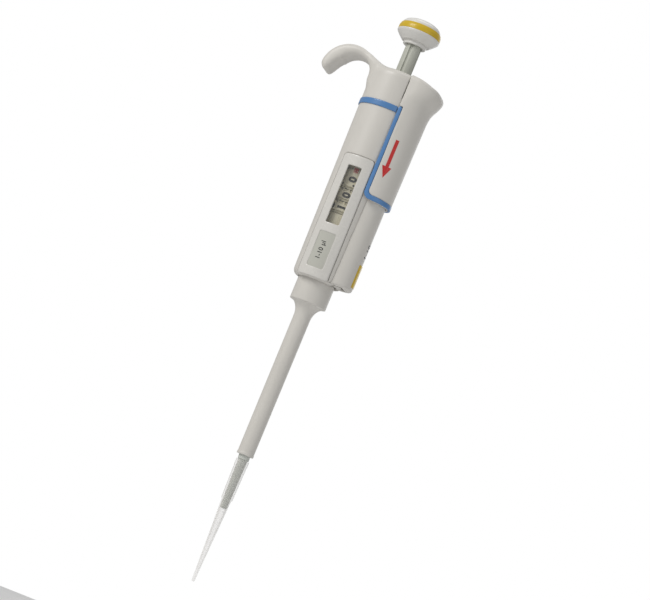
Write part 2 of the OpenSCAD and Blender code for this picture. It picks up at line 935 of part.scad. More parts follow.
// Thumb lever: a skirt round the rear lobe with a flared thumb rest
module ejector_lever() {
    color("whitesmoke")
        difference() {
            union() {
                skirt_cone(0, skirt_low);
                intersection() {
                    rotate([90, 0, 0])
                        linear_extrude(height = 40, center = true)
                            thumb_outline();
                    union() {
                        translate([skirt_x, 0, 0])
                            cylinder(r = skirt_top_r, h = z_cap + 10);
                        translate([thumb_x - skirt_r, 0, 0])
                            cylinder(r = skirt_r, h = z_cap + 10);
                    }
                }
            }
            difference() {
                handle_space();
                translate([rod_x, rod_y, roof_z - 3.5])
                    cylinder(r = boss_r, h = 5);
            }
            block([-30, -30, skirt_low - over], [lever_x, 30, z_cap + 10]);
            translate([rod_x, rod_y, roof_z - 5])
                cylinder(r = rod_r, h = 5.9);
            trim_zone(seat);
            ring(stem_r + 0.6, 40, z_deck);
        }
}

// Blue trim along the lever's lower and front edges
module ejector_trim() {
    color("steelblue")
        difference() {
            trim_zone();
            front_lobe(slip, z_body, z_cap);
            block([-30, -30, skirt_low - over], [lever_x, 30, z_cap + 10]);
        }
}

// Rod from the lever down to the ejector's arm
module ejector_rod() {
    color("silver")
        translate([rod_x, rod_y, arm_z])
            cylinder(r = rod_r, h = roof_z + 0.8 - arm_z);
}

// Spring that lifts the ejector
module ejector_spring() {
    color("silver")
        translate([rod_x, rod_y, 0])
            coil(boss_r - 0.15, 0.25, ledge_z + ledge_h, roof_z - 3.5, 8);
}

// Arm on top of the collar, which joins the ejector tube to the rod
module ejector_arm() {
    color("gainsboro")
        difference() {
            union() {
                ring(collar_r, arm_h, arm_z);
                block([0, rod_y - 0.6, arm_z], [rod_x, arm_y, arm_z + arm_h]);
                translate([rod_x, rod_y, arm_z])
                    cylinder(r = boss_r, h = arm_h);
            }
            ring(collar_bore, arm_h + 2 * over, arm_z - over);
            translate([rod_x, rod_y, arm_z - over])
                cylinder(r = rod_r, h = arm_h + 2 * over);
        }
}

// Ejector tube with its wide collar
module ejector_tube() {
    shoulder_r = tube_r + 0.15;
    inner = shaft_r + 0.3;
    color("whitesmoke")
        rotate_extrude()
            polygon(concat(
                [
                    [inner, z_tube],
                    [tube_r + 0.1, z_tube],
                    [tube_r + 0.15, z_tube + 0.4],
                    [tube_r, z_tube + 1.2],
                    [shoulder_r, z_shoulder - fillet_h]
                ],
                [
                    for (a = [15:15:90])
                        [collar_r - (collar_r - shoulder_r) * cos(a), z_shoulder - fillet_h + fillet_h * sin(a)]
                ],
                [
                    [collar_r, arm_z],
                    [collar_bore, arm_z],
                    [collar_bore, z_shoulder + 1.6],
                    [inner, shaft_top - 0.5]
                ]
            ));
}

// Disposable tip, pushed onto the nozzle
module disposable_tip() {
    step_z = tip_len - tip_collar_len;
    seat_z = tip_len - nozzle_len;
    color("mistyrose", 0.6)
        rotate_extrude()
            polygon([
                [tip_end_r - tip_wall, 0],
                [tip_end_r, 0],
                [tip_neck_r, step_z],
                [tip_neck_r + 0.43, step_z + 0.5],
                [tip_top_r, tip_len],
                [nozzle_top_r + run, tip_len],
                [nozzle_end_r + run, seat_z],
                [nozzle_end_r - 0.1, seat_z - 0.6],
                [tip_end_r - tip_wall, 0.5]
            ]);
}

main_housing();
rear_housing();
hook_cap();
housing_band();
display_panel();
display_window();
label_plate();
colour_strip();
counter_chassis();
transfer_shaft();
stem_bushing();
click_spring();
calibration_nut();
tip_cone();
piston_seal();
o_ring();
seal_retainer();
cap_screws();
blowout_washer();
blowout_spring();
control_rod();
piston_collar();
piston();
primary_spring();
knob_stem();
knob_body();
knob_ring();
knob_cap();
drive_sleeve();
click_wheel();
tenths_ring();
units_ring();
tens_ring();
units_pinion();
tens_pinion();
ejector_lever();
ejector_trim();
ejector_rod();
ejector_spring();
ejector_arm();
ejector_tube();
disposable_tip();
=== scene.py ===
import json
import math

import bmesh
import bpy
import numpy as np
from mathutils import Matrix, Vector

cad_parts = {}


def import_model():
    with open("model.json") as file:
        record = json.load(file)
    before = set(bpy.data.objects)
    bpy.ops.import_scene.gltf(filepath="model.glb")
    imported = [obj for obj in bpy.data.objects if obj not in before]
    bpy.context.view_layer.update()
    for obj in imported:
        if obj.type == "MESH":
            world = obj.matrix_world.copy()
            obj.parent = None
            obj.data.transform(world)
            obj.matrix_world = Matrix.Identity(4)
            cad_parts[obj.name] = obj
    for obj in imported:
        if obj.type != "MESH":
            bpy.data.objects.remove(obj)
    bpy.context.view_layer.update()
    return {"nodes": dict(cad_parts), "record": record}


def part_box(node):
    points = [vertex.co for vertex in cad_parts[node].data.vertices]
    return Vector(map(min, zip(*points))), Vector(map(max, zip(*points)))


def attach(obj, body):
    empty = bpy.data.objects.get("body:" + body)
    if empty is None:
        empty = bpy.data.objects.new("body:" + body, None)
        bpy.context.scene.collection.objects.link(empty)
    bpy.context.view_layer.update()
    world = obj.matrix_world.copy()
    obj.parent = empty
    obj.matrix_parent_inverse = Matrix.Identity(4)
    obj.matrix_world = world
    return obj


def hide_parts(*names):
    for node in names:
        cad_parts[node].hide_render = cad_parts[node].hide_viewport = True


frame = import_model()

MM = 0.001

# ---------------------------------------------------------------- sizes from the frame, in millimetres


def low(node, axis):
    """Lowest coordinate of a CAD node along axis 0, 1 or 2."""
    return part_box(node)[0][axis] / MM


def high(node, axis):
    """Highest coordinate of a CAD node along axis 0, 1 or 2."""
    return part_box(node)[1][axis] / MM


X, Y, Z = 0, 1, 2
BODY_Z = low("main_housing", Z)
SEAM_Z = high("main_housing", Z)
CROWN_R = high("main_housing", Y)
LABEL_T = (high("label_plate", Z) - BODY_Z) / (SEAM_Z - BODY_Z)
GRIP_R = (-low("label_plate", Y) - 0.1 - CROWN_R * LABEL_T) / (1 - LABEL_T)
WALL = 1.5          # of the handle's shells
SLIP = 0.35         # between the lever and the handle
COLLAR_WALL = 1.45  # of the ejector tube's collar
EJECT_ROOM = 8.4    # the ejector's travel and a little more
TUBE_R = 3.5
TIP_NECK_R, TIP_END_R, TIP_COLLAR_LEN = 2.02, 0.6, 17.6
IMAGE_WIDTH = 650   # pixels
SENSOR = 36.0       # millimetres
CAP_Z = high("ejector_lever", Z) + 0.4
DECK_Z = SEAM_Z + 3
DECK_TOP = DECK_Z + 2
ROOF_Z = DECK_TOP + EJECT_ROOM
LOBE_R = high("rear_housing", Y)
LOBE_X = high("rear_housing", X) - LOBE_R
LEVER_X = low("ejector_lever", X)
SPLIT_X = LEVER_X - 0.15
THUMB_X = high("ejector_lever", X)
STEM_R = high("knob_stem", X)
COLLAR_R = high("ejector_tube", X)
ROD_X = (low("ejector_rod", X) + high("ejector_rod", X)) / 2
ROD_Y = (low("ejector_rod", Y) + high("ejector_rod", Y)) / 2
SLOT = (ROD_Y - 1.9, 4.0, ROD_X + 1.9)


def handle_r(z):
    """Radius of the handle's front lobe at height z."""
    return GRIP_R + (CROWN_R - GRIP_R) * (z - BODY_Z) / (SEAM_Z - BODY_Z)


# The lever's skirt is a cone that ends in two thin edges, just outside the front lobe
SKIRT_Z = low("ejector_trim", Z)
FLARE_Z = SEAM_Z + 3
EDGE_Y = math.sqrt((handle_r(SKIRT_Z) + SLIP) ** 2 - LEVER_X**2) + 0.6
REACH = LOBE_X + LOBE_R + 1.8
SKIRT_X = (REACH**2 - LEVER_X**2 - EDGE_Y**2) / (2 * (REACH - LEVER_X))
SKIRT_R = REACH - SKIRT_X


def skirt_r(z):
    """Radius of the lever's skirt at height z."""
    return SKIRT_R + 0.5 * np.clip((z - SKIRT_Z) / (FLARE_Z - SKIRT_Z), 0, 1)


# ---------------------------------------------------------------- materials


def node_material(name, rough, coat=0.0, metal=0.0, ior=1.46, alpha=1.0, subsurface=0.0):
    """An empty node material and its shader, with the values that are the same all over."""
    m = bpy.data.materials.new(name)
    m.use_nodes = True
    b = m.node_tree.nodes["Principled BSDF"]
    b.inputs["Roughness"].default_value = rough
    b.inputs["Coat Weight"].default_value = coat
    b.inputs["Coat Roughness"].default_value = 0.12
    b.inputs["Metallic"].default_value = metal
    b.inputs["IOR"].default_value = ior
    b.inputs["Alpha"].default_value = alpha
    b.inputs["Subsurface Weight"].default_value = subsurface
    b.inputs["Subsurface Radius"].default_value = (0.0012, 0.001, 0.0008)
    b.inputs["Subsurface Scale"].default_value = 1.0
    return m, b


def noise(m, scale, detail=2.0, rough=0.5, stretch=(1, 1, 1)):
    """3-D noise in the object's own metres. scale is in features per metre."""
    t = m.node_tree
    co = t.nodes.new("ShaderNodeTexCoord")
    mp = t.nodes.new("ShaderNodeMapping")
    mp.inputs["Scale"].default_value = stretch
    n = t.nodes.new("ShaderNodeTexNoise")
    n.inputs["Scale"].default_value = scale
    n.inputs["Detail"].default_value = detail
    n.inputs["Roughness"].default_value = rough
    t.links.new(co.outputs["Object"], mp.inputs["Vector"])
    t.links.new(mp.outputs["Vector"], n.inputs["Vector"])
    return n.outputs["Fac"]


def ramp(m, fac, stops):
    """Colour ramp: stops are (position, colour)."""
    r = m.node_tree.nodes.new("ShaderNodeValToRGB")
    while len(r.color_ramp.elements) < len(stops):
        r.color_ramp.elements.new(0.5)
    for e, (pos, col) in zip(r.color_ramp.elements, stops):
        e.position = pos
        e.color = (*col, 1) if len(col) == 3 else col
    m.node_tree.links.new(fac, r.inputs["Fac"])
    return r.outputs["Color"]


def grain_bump(m, b, layers):
    """Chain of bumps: layers are (height output, strength, distance in metres)."""
    last = None
    for height, strength, dist in layers:
        n = m.node_tree.nodes.new("ShaderNodeBump")
        n.inputs["Strength"].default_value = strength
        n.inputs["Distance"].default_value = dist
        m.node_tree.links.new(height, n.inputs["Height"])
        if last:
            m.node_tree.links.new(last, n.inputs["Normal"])
        last = n.outputs["Normal"]
    m.node_tree.links.new(last, b.inputs["Normal"])


def shade(col, k):
    """Colour times k."""
    return tuple(min(1, c * k) for c in col)


def moulded(name, col, rough=0.42, coat=0.0, grain=7000, grain_depth=0.000012, vary=0.03, subsurface=0.0):
    """Moulded plastic: spark-eroded grain, faint flow marks in colour and gloss, worn smooth on its edges."""
    m, b = node_material(name, rough, coat, subsurface=subsurface)
    t = m.node_tree
    flow = noise(m, 90, 3, 0.55, (1, 1, 0.35))
    tints = [(0.3, shade(col, 1 - vary)), (0.7, shade(col, 1 + vary))]
    t.links.new(ramp(m, flow, tints), b.inputs["Base Color"])
    geo = t.nodes.new("ShaderNodeNewGeometry")
    mixed = t.nodes.new("ShaderNodeMath")
    mixed.operation = "MULTIPLY_ADD"
    mixed.inputs[1].default_value = 0.12
    mixed.inputs[2].default_value = rough - 0.06
    t.links.new(noise(m, 600, 2), mixed.inputs[0])
    worn = t.nodes.new("ShaderNodeMapRange")
    worn.inputs["From Min"].default_value = 0.5
    worn.inputs["From Max"].default_value = 0.62
    worn.inputs["To Min"].default_value = 0.0
    worn.inputs["To Max"].default_value = 0.12
    t.links.new(geo.outputs["Pointiness"], worn.inputs["Value"])
    less = t.nodes.new("ShaderNodeMath")
    less.operation = "SUBTRACT"
    t.links.new(mixed.outputs[0], less.inputs[0])
    t.links.new(worn.outputs["Result"], less.inputs[1])
    t.links.new(less.outputs[0], b.inputs["Roughness"])
    grain_bump(m, b, [(noise(m, grain, 2, 0.6), 0.5, grain_depth), (noise(m, 260, 2), 0.25, 0.00004)])
    return m


def turned_metal(name, col, rough=0.28, lines=9000):
    """Turned or drawn metal, with fine rings across the axis."""
    m, b = node_material(name, rough, metal=1.0)
    t = m.node_tree
    rings = noise(m, lines, 2, 0.5, (0.05, 0.05, 1))
    t.links.new(ramp(m, rings, [(0.3, shade(col, 0.85)), (0.7, shade(col, 1.08))]), b.inputs["Base Color"])
    grain_bump(m, b, [(rings, 0.3, 0.000008)])
    return m


def clear_window(name):
    """Thin clear window: mostly see-through, with a hard gloss."""
    m, b = node_material(name, 0.05, ior=1.4, alpha=0.04)
    t = m.node_tree
    tints = [(0.3, (0.85, 0.88, 0.87)), (0.7, (0.95, 0.97, 0.96))]
    t.links.new(ramp(m, noise(m, 200, 2), tints), b.inputs["Base Color"])
    grain_bump(m, b, [(noise(m, 500, 2), 0.05, 0.00001)])
    return m


def natural_polypropylene(name):
    """Clear, slightly milky polypropylene: its walls show most where they are seen edge-on."""
    m, b = node_material(name, 0.25, ior=1.35, alpha=0.13)
    t = m.node_tree
    t.links.new(
        ramp(m, noise(m, 300, 2, 0.5, (1, 1, 0.2)), [(0.3, (0.74, 0.72, 0.69)), (0.7, (0.84, 0.82, 0.79))]),
        b.inputs["Base Color"],
    )
    edge = t.nodes.new("ShaderNodeLayerWeight")
    edge.inputs["Blend"].default_value = 0.25
    wall = t.nodes.new("ShaderNodeMapRange")
    wall.inputs["To Min"].default_value = 0.12
    wall.inputs["To Max"].default_value = 0.75
    t.links.new(edge.outputs["Facing"], wall.inputs["Value"])
    t.links.new(wall.outputs["Result"], b.inputs["Alpha"])
    grain_bump(m, b, [(noise(m, 900, 2, 0.5, (1, 1, 0.1)), 0.1, 0.00001)])
    return m


def rubber(name):
    """Matt black rubber."""
    m, b = node_material(name, 0.7)
    t = m.node_tree
    tints = [(0.3, (0.02, 0.02, 0.02)), (0.7, (0.04, 0.04, 0.04))]
    t.links.new(ramp(m, noise(m, 900, 2), tints), b.inputs["Base Color"])
    grain_bump(m, b, [(noise(m, 5000, 2), 0.5, 0.00002)])
    return m


MATS = {
    "body_plastic": moulded("body_plastic", (0.63, 0.61, 0.57), 0.4, grain=6000),
    "panel_plastic": moulded("panel_plastic", (0.66, 0.645, 0.61), 0.27, 0.15, 5000, 0.000004),
    "knob_plastic": moulded("knob_plastic", (0.72, 0.71, 0.68), 0.3, 0.1, 6000, 0.000006),
    "grey_plastic": moulded("grey_plastic", (0.50, 0.51, 0.45), 0.38, 0.0, 6000, 0.00001, 0.05),
    "cone_plastic": moulded("cone_plastic", (0.58, 0.60, 0.56), 0.33, 0.1, 6000, 0.00001),
    "blue_trim": moulded("blue_trim", (0.085, 0.22, 0.47), 0.32, 0.2, 6000, 0.000006, 0.05),
    "yellow_trim": moulded("yellow_trim", (0.62, 0.42, 0.015), 0.34, 0.15, 6000, 0.000006, 0.05),
    "ring_plastic": moulded("ring_plastic", (0.60, 0.56, 0.42), 0.45, 0.0, 5000, 0.00001, 0.04),
    "pinion_plastic": moulded("pinion_plastic", (0.22, 0.17, 0.10), 0.45, 0.0, 5000, 0.00001, 0.05),
    "label_film": moulded("label_film", (0.51, 0.51, 0.46), 0.25, 0.3, 900, 0.000003, 0.02),
    "seal_plastic": moulded("seal_plastic", (0.80, 0.80, 0.78), 0.5),
    "print_black": moulded("print_black", (0.012, 0.012, 0.012), 0.4, 0.0, 5000, 0.000003, 0.2),
    "print_red": moulded("print_red", (0.50, 0.02, 0.02), 0.4, 0.0, 5000, 0.000003, 0.1),
    "steel": turned_metal("steel", (0.62, 0.62, 0.63)),
    "spring_steel": turned_metal("spring_steel", (0.5, 0.5, 0.51), 0.32, 4000),
    "brass": turned_metal("brass", (0.66, 0.48, 0.2), 0.3),
    "window_plastic": clear_window("window_plastic"),
    "tip_plastic": natural_polypropylene("tip_plastic"),
    "seal_rubber": rubber("seal_rubber"),
}

# ---------------------------------------------------------------- mesh tools


def finish_mesh(name, verts_mm, faces, slot, body, replaced=(), mat=None, angle=None):
    """A smooth-shaded piece from millimetre points, with its material and body.

    replaced names the CAD nodes that it stands for.
    """
    me = bpy.data.meshes.new(name)
    me.from_pydata((np.asarray(verts_mm) * MM).tolist(), [], [list(map(int, f)) for f in faces])
    me.validate()
    me.update()
    o = bpy.data.objects.new(name, me)
    bpy.context.scene.collection.objects.link(o)
    me.materials.append(MATS[mat or slot])
    smooth(o, angle)
    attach(o, body)
    if replaced:
        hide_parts(*replaced)
    return o


def smooth(o, angle=None):
    """Smooth shading; edges sharper than angle, in degrees, stay sharp."""
    me = o.data
    me.shade_smooth()
    if angle is not None:
        bm = bmesh.new()
        bm.from_mesh(me)
        for e in bm.edges:
            if len(e.link_faces) == 2 and e.calc_face_angle(0) > math.radians(angle):
                e.smooth = False
        bm.to_mesh(me)
        bm.free()


def face_outwards(o):
    """Turns all of a piece's faces to look outwards."""
    bm = bmesh.new()
    bm.from_mesh(o.data)
    bmesh.ops.recalc_face_normals(bm, faces=bm.faces)
    bm.to_mesh(o.data)
    bm.free()
    return o


def rounded(points, n=5):
    """A profile whose corners are rounded: points are (r, z, corner radius). Each round is a small arc."""
    out = []
    for i, (r, z, k) in enumerate(points):
        p = np.array([r, z], float)
        if k <= 0 or i in (0, len(points) - 1):
            out.append(p)
            continue
        a = np.array(points[i - 1][:2], float) - p
        b = np.array(points[i + 1][:2], float) - p
        la, lb = np.hypot(*a), np.hypot(*b)
        a, b = a / la, b / lb
        half = math.acos(np.clip(a @ b, -1, 1)) / 2
        back = min(k / math.tan(half), la * 0.49, lb * 0.49)
        k = back * math.tan(half)
        mid = (a + b) / np.hypot(*(a + b))
        c = p + mid * k / math.sin(half)
        s, e = p + a * back - c, p + b * back - c
        turn = math.atan2(s[0] * e[1] - s[1] * e[0], s @ e)
        for j in range(n + 1):
            t = turn * j / n
            cos, sin = math.cos(t), math.sin(t)
            out.append(c + np.array([s[0] * cos - s[1] * sin, s[0] * sin + s[1] * cos]))
    return np.array(out)


def lathe(name, profile, slot, body, replaced=(), segments=96, closed=False, wave=None):
    """Turns a profile of (r, z) about the axis. An open profile starts and ends on the axis.

    wave(angle, r, z) gives a new radius.
    """
    rings, verts, faces = [], [], []
    for r, z in profile:
        if r < 1e-6:
            rings.append([len(verts)])
            verts.append((0, 0, z))
            continue
        ids = []
        for k in range(segments):
            a = 2 * math.pi * k / segments
            q = wave(a, r, z) if wave else r
            ids.append(len(verts))
            verts.append((q * math.cos(a), q * math.sin(a), z))
        rings.append(ids)
    pairs = list(zip(rings, rings[1:])) + ([(rings[-1], rings[0])] if closed else [])
    for a, b in pairs:
        for k in range(segments):
            k2 = (k + 1) % segments
            if len(a) == 1 and len(b) == 1:
                continue
            if len(a) == 1:
                faces.append((a[0], b[k2], b[k]))
            elif len(b) == 1:
                faces.append((a[k], a[k2], b[0]))
            else:
                faces.append((a[k], a[k2], b[k2], b[k]))
    return face_outwards(finish_mesh(name, verts, faces, slot, body, replaced))


# Signed distances, in millimetres: negative inside.


def smin(a, b, k):
    """Union with a fillet of about k."""
    h = np.maximum(k - np.abs(a - b), 0) / k
    return np.minimum(a, b) - h * h * k / 4


def smax(a, b, k):
    """Intersection with an edge rounded by about k."""
    return -smin(-a, -b, k)


def minus(a, b, k=0.3):
    """a less b, with an edge rounded by about k."""
    return smax(a, -b, k)


def column(x, y, r, cx=0.0, cy=0.0):
    """Endless cylinder along Z."""
    return np.hypot(x - cx, y - cy) - r


def slab(v, a, b):
    """Between a and b."""
    return np.maximum(a - v, v - b)


def outline(px, pz, points):
    """Signed distance to a closed polygon."""
    pts = np.asarray(points, float)
    d = np.full(np.broadcast(px, pz).shape, 1e9)
    inside = np.zeros(d.shape, bool)
    for (ax, az), (bx, bz) in zip(pts, np.roll(pts, -1, axis=0)):
        ex, ez = bx - ax, bz - az
        t = np.clip(((px - ax) * ex + (pz - az) * ez) / (ex * ex + ez * ez), 0, 1)
        d = np.minimum(d, np.hypot(px - ax - t * ex, pz - az - t * ez))
        if ez != 0:
            crosses = (az > pz) != (bz > pz)
            inside ^= crosses & (px < ax + (pz - az) * ex / ez)
    return np.where(inside, -d, d)


def round_box(u, v, u0, u1, v0, v1, k):
    """Rectangle with corners of radius k."""
    qu = np.abs(u - (u0 + u1) / 2) - (u1 - u0) / 2 + k
    qv = np.abs(v - (v0 + v1) / 2) - (v1 - v0) / 2 + k
    return np.hypot(np.maximum(qu, 0), np.maximum(qv, 0)) + np.minimum(np.maximum(qu, qv), 0) - k


def curve(us, vs):
    """Smooth function through the points (u, v), level beyond its ends."""
    us, vs = np.array(us, float), np.array(vs, float)
    slope = np.gradient(vs, us)

    def at(q):
        q = np.clip(q, us[0], us[-1])
        i = np.clip(np.searchsorted(us, q, side="right") - 1, 0, len(us) - 2)
        h = us[i + 1] - us[i]
        t = (q - us[i]) / h
        ends = vs[i] * (1 + 2 * t) * (1 - t) ** 2 + vs[i + 1] * t * t * (3 - 2 * t)
        return ends + h * (slope[i] * t * (1 - t) ** 2 + slope[i + 1] * t * t * (t - 1))

    return at


def graded(a, b, coarse, fine, marks=(), near=1.5):
    """Grid levels from a to b: fine steps within near of a mark, coarse ones elsewhere."""
    out = [a]
    while out[-1] < b:
        v = out[-1]
        close = min((abs(v - m) for m in marks), default=1e9)
        ahead = min((m - v for m in marks if m > v), default=1e9)
        step = fine if close <= near else min(coarse, max(fine, ahead - near))
        out.append(v + step)
    return np.array(out)


def net(name, field, xs, ys, zs, slot, body, replaced=(), mat=None):
    """The surface where field is zero, as quads on a graded grid, its points moved onto the true surface."""
    gx, gy, gz = xs[:, None, None], ys[None, :, None], zs[None, None, :]
    f = np.broadcast_to(field(gx, gy, gz), (len(xs), len(ys), len(zs)))
    neg = f < 0
    nx, ny, nz = (n - 1 for n in f.shape)
    total = np.zeros((nx, ny, nz, 3))
    count = np.zeros((nx, ny, nz))
    corner = [(i, j, k) for i in (0, 1) for j in (0, 1) for k in (0, 1)]
    for c in corner:
        for axis in range(3):
            if c[axis]:
                continue
            d = list(c)
            d[axis] = 1
            sa = tuple(slice(v, v + n) for v, n in zip(c, (nx, ny, nz)))
            sb = tuple(slice(v, v + n) for v, n in zip(d, (nx, ny, nz)))
            fa, fb = f[sa], f[sb]
            cut = neg[sa] != neg[sb]
            t = np.where(cut, fa / np.where(cut, fa - fb, 1), 0)
            for ax, g in enumerate((xs, ys, zs)):
                lo = g[c[ax] : c[ax] + (nx, ny, nz)[ax]]
                hi = g[d[ax] : d[ax] + (nx, ny, nz)[ax]]
                shape = [1, 1, 1]
                shape[ax] = -1
                lo, hi = lo.reshape(shape), hi.reshape(shape)
                total[..., ax] += np.where(cut, lo + t * (hi - lo), 0)
            count += cut
    used = count > 0
    index = np.full((nx, ny, nz), -1)
    index[used] = np.arange(used.sum())
    p = total[used] / count[used][:, None]
    quads = []
    for axis in range(3):
        sa = [slice(1, n) for n in (nx, ny, nz)]
        sb = [slice(1, n) for n in (nx, ny, nz)]
        sa[axis] = slice(0, (nx, ny, nz)[axis])
        sb[axis] = slice(1, (nx, ny, nz)[axis] + 1)
        a, b = neg[tuple(sa)], neg[tuple(sb)]
        i, j, k = np.nonzero(a != b)
        start = [i, j, k]
        for other in range(3):
            if other != axis:
                start[other] = start[other] + 1
        u, v = [(1, 2), (2, 0), (0, 1)][axis]
        cell = []
        for du, dv in ((0, 0), (1, 0), (1, 1), (0, 1)):
            q = [s.copy() for s in start]
            q[u] -= 1 - du
            q[v] -= 1 - dv
            cell.append(index[q[0], q[1], q[2]])
        quad = np.stack(cell, 1)
        flip = ~a[i, j, k]
        quad[flip] = quad[flip][:, ::-1]
        quads.append(quad)
    quads = np.concatenate(quads)
    quads = quads[(quads >= 0).all(1)]
    h = 0.01
    for _ in range(4):
        x, y, z = p.T
        val = field(x, y, z)
        g = np.stack([
            field(x + h, y, z) - field(x - h, y, z),
            field(x, y + h, z) - field(x, y - h, z),
            field(x, y, z + h) - field(x, y, z - h),
        ], 1) / (2 * h)
        step = -val[:, None] * g / np.maximum((g * g).sum(1), 0.05)[:, None]
        size = np.hypot(np.hypot(step[:, 0], step[:, 1]), step[:, 2])
        p = p + step * np.minimum(1, 0.25 / np.maximum(size, 1e-9))[:, None]
    return finish_mesh(name, p, quads, slot, body, replaced, mat)


# ---------------------------------------------------------------- handle shells


def front_lobe(x, y, z, e=0.0):
    """The grip's front lobe, grown outwards by e."""
    return np.hypot(x, y) - handle_r(z) - e


def arm_slot(x, y, z):
    """Slot in the floor that the ejector's arm passes through."""
    across = np.maximum(SLOT[0] - y, y - SLOT[1])
    return np.maximum(across, np.maximum(np.maximum(-x, x - SLOT[2]), z - BODY_Z - 3.2))


def main_housing():
    """Front shell: open to the rear lobe, with a recess for the display panel."""
    lo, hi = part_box("display_panel")
    pz0, pz1 = lo.z / MM - 0.12, hi.z / MM + 0.12
    pw = hi.x / MM + 0.12

    def field(x, y, z):
        d = smax(front_lobe(x, y, z), slab(z, BODY_Z, SEAM_Z + 0.3), 3.2)
        d = np.where(z > BODY_Z + 8, np.maximum(front_lobe(x, y, z), z - SEAM_Z), d)
        d = minus(d, np.maximum(front_lobe(x, y, z, -WALL), BODY_Z + 2 - z), 0.3)
        d = minus(d, np.maximum(column(x, y, LOBE_R + 0.05, LOBE_X), BODY_Z + 1.2 - z), 0.15)
        d = minus(d, column(x, y, COLLAR_R + 0.25), 0.4)
        d = minus(d, arm_slot(x, y, z), 0.25)
        recess = np.maximum(round_box(x, z, -pw, pw, pz0, pz1, 1.3), y)
        recess = np.maximum(recess, -front_lobe(x, y, z, -0.9))
        d = minus(d, recess, 0.25)
        wz0, wz1 = low("display_window", Z) - 0.4, high("display_window", Z) + 0.4
        ww = high("display_window", X) + 0.4
        return minus(d, np.maximum(round_box(x, z, -ww, ww, wz0, wz1, 0.5), y), 0.2)

    r = CROWN_R + 0.6
    xs = graded(-r, r, 0.42, 0.3, (-pw, pw, 8.5), 1.0)
    ys = graded(-r, r, 0.42, 0.42)
    marks = (BODY_Z + 1, pz0, pz1, low("display_window", Z), high("display_window", Z), SEAM_Z)
    zs = graded(BODY_Z - 0.6, SEAM_Z + 0.6, 2.2, 0.32, marks, 1.6)
    return net("main_housing_shell", field, xs, ys, zs, "body_plastic", "handle", ("main_housing",))


def rear_housing():
    """Rear shell round the ejector rod, with a chamfered foot."""
    top = high("rear_housing", Z)
    foot = low("rear_housing", Z)

    def field(x, y, z):
        d = smax(column(x, y, LOBE_R, LOBE_X), slab(z, foot, top), 1.3)
        d = minus(d, np.maximum(column(x, y, LOBE_R - WALL, LOBE_X), foot + 1.6 - z), 0.3)
        d = np.maximum(d, -front_lobe(x, y, z, -WALL))
        d = minus(d, column(x, y, COLLAR_R + 0.3), 0.3)
        return minus(d, arm_slot(x, y, z), 0.3)

    xs = graded(3.5, LOBE_X + LOBE_R + 0.6, 0.34, 0.34)
    ys = graded(-LOBE_R - 0.6, LOBE_R + 0.6, 0.34, 0.34)
    zs = graded(foot - 0.6, top + 0.6, 2.2, 0.3, (foot, top), 1.6)
    return net("rear_housing_shell", field, xs, ys, zs, "body_plastic", "handle", ("rear_housing",))


def hook_points():
    """Outline of the finger hook in X and Z: an outer arc, a rounded end and the round inside."""
    mount = next(m for m in frame["record"]["mounts"] if m["name"] == "stand_hook")
    cx, _, cz = (v / MM for v in mount["pos_m"])
    r = mount["dims"]["r_mm"]
    thick = high("hook_cap", Z) - cz - r
    outer = r + thick + 0.5
    ox, oz = cx - 2.3, cz + r + thick - outer

    def arc(x, z, q, a0, a1, n):
        angles = [math.radians(a0 + (a1 - a0) * i / n) for i in range(n + 1)]
        return [(x + q * math.cos(a), z + q * math.sin(a)) for a in angles]

    points = [
        (0, cz - 6),
        (0, CAP_Z - 1.5),
        (-4.0, CAP_Z - 0.5),
        (-5.7, CAP_Z),
        (-7.5, CAP_Z + 0.6),
        (-9.2, CAP_Z + 1.3),
        (-11.0, CAP_Z + 2.15),
        (-12.8, CAP_Z + 3.0),
        (-14.7, CAP_Z + 3.95),
    ]
    points += arc(ox, oz, outer, 64, 172, 24)
    points += [
        (ox - outer + 0.2, oz + 0.4),
        (ox - outer + 0.9, oz - 0.9),
        (ox - outer + 1.8, oz - 1.7),
        (ox - outer + 2.8, oz - 1.9),
        (cx - 10.9, cz - 1.7),
        (cx - 10.0, cz - 0.4),
        (cx - 9.1, cz + 1.1),
        (cx - 8.2, cz + 2.5),
        (cx - 7.3, cz + 3.6),
    ]
    points += arc(cx, cz, r + 0.2, 148, 0, 24)
    points += [
        (cx + r + 0.25, cz - 1.2),
        (cx + r + 1.2, cz - 3.2),
        (cx + r + 3.0, cz - 5.0),
        (cx + r + 5, cz - 6),
    ]
    return points


